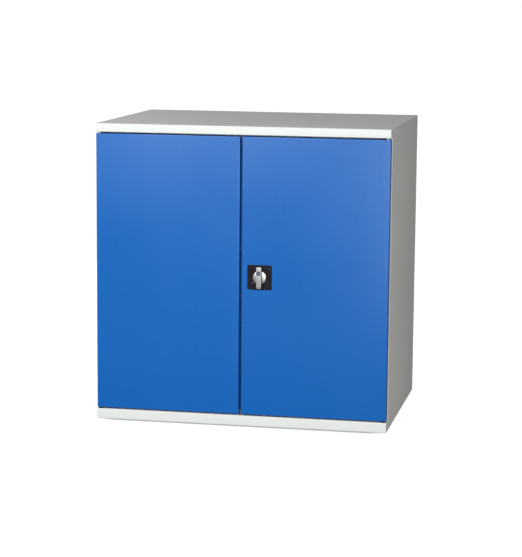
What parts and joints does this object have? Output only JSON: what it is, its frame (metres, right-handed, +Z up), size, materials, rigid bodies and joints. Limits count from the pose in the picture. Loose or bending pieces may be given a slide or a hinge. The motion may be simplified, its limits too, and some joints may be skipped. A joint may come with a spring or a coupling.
{
  "type": "double-door steel cabinet",
  "caption": "Low steel cupboard with a grey housing, blue hinged doors, a turning handle with a key lock that drives locking rods, and shelves inside.",
  "frame": {"origin": "on the floor at the middle of the cabinet's bounding box, turning handle included", "axes": "+X to the right seen from the front, +Y from the doors towards the rear wall, +Z up"},
  "size_m": [1.005, 0.755, 1.019],
  "materials": {
    "housing_paint": "pale grey fine-textured powder coat",
    "door_paint": "blue satin powder coat",
    "zinc_plated_steel": "bright zinc plating",
    "black_plastic": "fine-grained black moulding",
    "satin_handle_metal": "satin silver die casting",
    "key_plug_metal": "nickel-plated key cylinder",
    "pale_nylon": "natural nylon",
    "black_rubber": "soft rubber",
    "magnet_pole_steel": "ground steel poles"
  },
  "bodies": {
    "housing": {"side_wall_left": "housing_paint", "side_wall_right": "housing_paint", "rear_wall": "housing_paint", "top_panel": "housing_paint", "top_stiffener": "housing_paint", "top_front_rail": "housing_paint", "base_front_rail": "housing_paint", "floor_pan": "housing_paint", "floor_stiffener": "housing_paint", "base_corner_plates": "zinc_plated_steel", "floor_plugs": "black_plastic", "upright_front_left": "zinc_plated_steel", "upright_front_right": "zinc_plated_steel", "upright_rear_left": "zinc_plated_steel", "upright_rear_right": "zinc_plated_steel", "shelf_lower": "housing_paint", "shelf_upper": "housing_paint", "shelf_clips": "zinc_plated_steel", "hinge_pins": "zinc_plated_steel", "pivot_washers": "black_plastic", "rod_keeper_top": "zinc_plated_steel", "rod_keeper_bottom": "zinc_plated_steel", "door_buffers": "black_rubber", "magnet_catch_case": "pale_nylon", "catch_magnet": "magnet_pole_steel", "rear_rivets": "zinc_plated_steel"},
    "door_left": {"door_left_skin": "door_paint", "door_left_stiffener": "door_paint", "door_left_centre_strip": "door_paint", "door_left_pivot_blocks": "zinc_plated_steel", "door_left_bushes": "black_plastic", "catch_strike": "zinc_plated_steel"},
    "door_right": {"door_right_skin": "door_paint", "door_right_stiffener": "door_paint", "door_right_pivot_blocks": "zinc_plated_steel", "door_right_bushes": "black_plastic", "lock_plate": "black_plastic", "lock_case": "zinc_plated_steel", "lock_cover": "zinc_plated_steel", "lock_screws": "zinc_plated_steel", "rod_guides": "zinc_plated_steel"},
    "handle": {"turning_handle": "satin_handle_metal", "handle_spindle": "zinc_plated_steel", "lock_pinion": "zinc_plated_steel", "spindle_clip": "zinc_plated_steel"},
    "key": {"key_plug": "key_plug_metal"},
    "rod_top": {"rod_top": "zinc_plated_steel"},
    "rod_bottom": {"rod_bottom": "zinc_plated_steel"}
  },
  "joints": [
    {"name": "door_left_hinge", "type": "hinge", "parent": "housing", "child": "door_left", "pos_m": [-0.491, -0.3475, 0.5], "axis": [0, 0, -1], "range_deg": [0, 110]},
    {"name": "door_right_hinge", "type": "hinge", "parent": "housing", "child": "door_right", "pos_m": [0.491, -0.3475, 0.5], "axis": [0, 0, 1], "range_deg": [0, 110]},
    {"name": "handle_turn", "type": "hinge", "parent": "door_right", "child": "handle", "pos_m": [0.066, -0.3585, 0.513], "axis": [0, 1, 0], "range_deg": [0, 90]},
    {"name": "key_turn", "type": "hinge", "parent": "handle", "child": "key", "pos_m": [0.066, -0.3685, 0.528], "axis": [0, 1, 0], "range_deg": [0, 90]},
    {"name": "rod_top_slide", "type": "slide", "parent": "door_right", "child": "rod_top", "axis": [0, 0, 1], "range_m": [0, 0.01885]},
    {"name": "rod_bottom_slide", "type": "slide", "parent": "door_right", "child": "rod_bottom", "axis": [0, 0, -1], "range_m": [0, 0.01885]}
  ],
  "couplings": [
    {"joint": "rod_top_slide", "follows": "handle_turn", "m_per_rad": 0.012},
    {"joint": "rod_bottom_slide", "follows": "handle_turn", "m_per_rad": 0.012}
  ]
}
